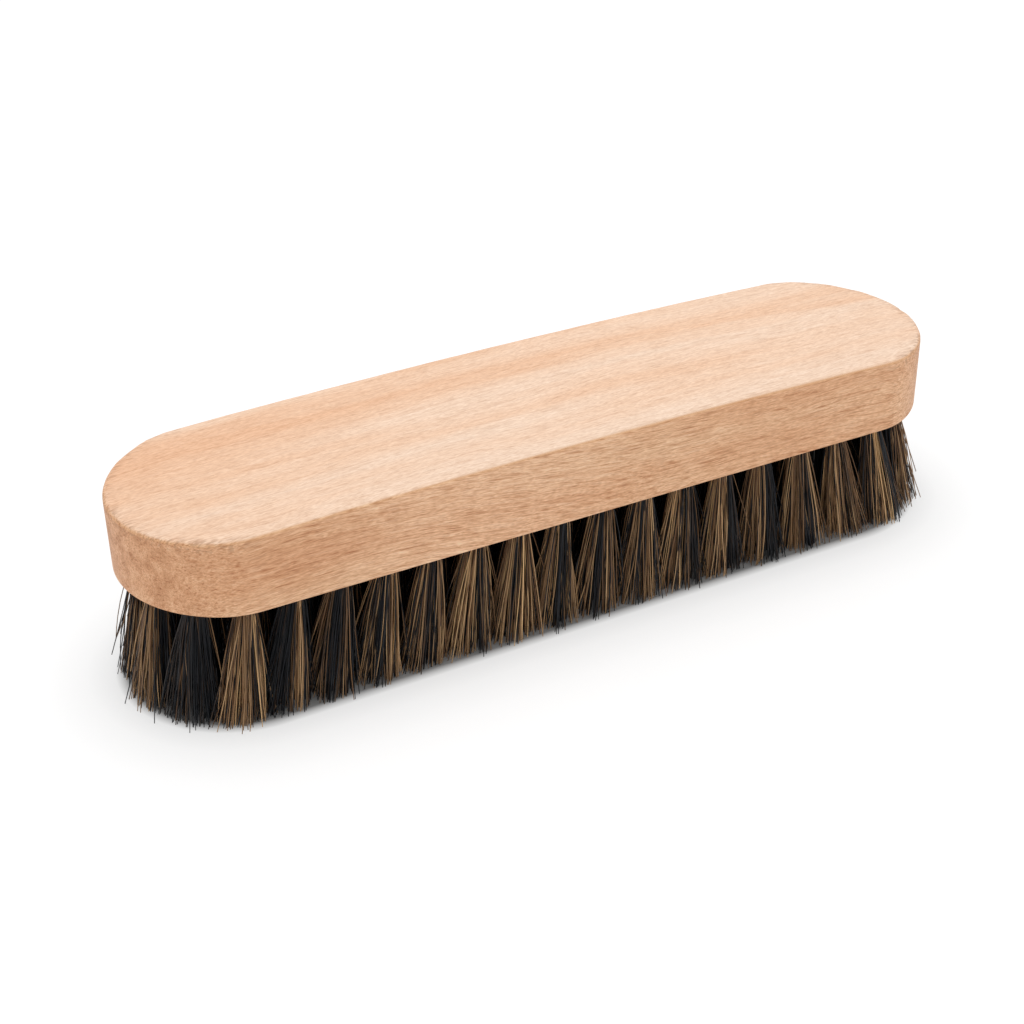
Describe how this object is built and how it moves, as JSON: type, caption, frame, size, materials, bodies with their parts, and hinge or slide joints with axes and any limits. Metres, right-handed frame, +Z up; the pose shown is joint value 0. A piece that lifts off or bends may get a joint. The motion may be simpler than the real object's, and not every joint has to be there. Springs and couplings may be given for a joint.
{
  "type": "shoe shine brush",
  "caption": "Shoe shine brush: a long beech block with round ends and a crowned top, set with dense tufts of mixed black, brown and tan horsehair.",
  "frame": {"origin": "centre of the brush's footprint, on the surface that the bristle tips stand on", "axes": "+X along the brush's length, +Y towards its back, +Z up from the bristle tips to the block"},
  "size_m": [0.1722, 0.0446, 0.0397],
  "materials": {
    "beech": "raw sanded beech, satin",
    "horsehair": "mixed black, brown and tan horsehair",
    "staple_wire": "drawn steel wire"
  },
  "bodies": {
    "root": {"block": "beech", "front_tuft_01": "horsehair", "front_tuft_02": "horsehair", "front_tuft_03": "horsehair", "front_tuft_04": "horsehair", "front_tuft_05": "horsehair", "front_tuft_06": "horsehair", "front_tuft_07": "horsehair", "front_tuft_08": "horsehair", "front_tuft_09": "horsehair", "front_tuft_10": "horsehair", "front_tuft_11": "horsehair", "front_tuft_12": "horsehair", "front_tuft_13": "horsehair", "front_tuft_14": "horsehair", "front_tuft_15": "horsehair", "front_tuft_16": "horsehair", "back_tuft_01": "horsehair", "back_tuft_02": "horsehair", "back_tuft_03": "horsehair", "back_tuft_04": "horsehair", "back_tuft_05": "horsehair", "back_tuft_06": "horsehair", "back_tuft_07": "horsehair", "back_tuft_08": "horsehair", "back_tuft_09": "horsehair", "back_tuft_10": "horsehair", "back_tuft_11": "horsehair", "back_tuft_12": "horsehair", "back_tuft_13": "horsehair", "back_tuft_14": "horsehair", "back_tuft_15": "horsehair", "back_tuft_16": "horsehair", "left_end_tuft_01": "horsehair", "left_end_tuft_02": "horsehair", "left_end_tuft_03": "horsehair", "left_end_tuft_04": "horsehair", "right_end_tuft_01": "horsehair", "right_end_tuft_02": "horsehair", "right_end_tuft_03": "horsehair", "right_end_tuft_04": "horsehair", "inner_front_tufts": "horsehair", "inner_back_tufts": "horsehair", "middle_tufts": "horsehair", "front_staples": "staple_wire", "back_staples": "staple_wire", "left_end_staples": "staple_wire", "right_end_staples": "staple_wire", "inner_front_staples": "staple_wire", "inner_back_staples": "staple_wire", "middle_staples": "staple_wire"}
  },
  "joints": []
}
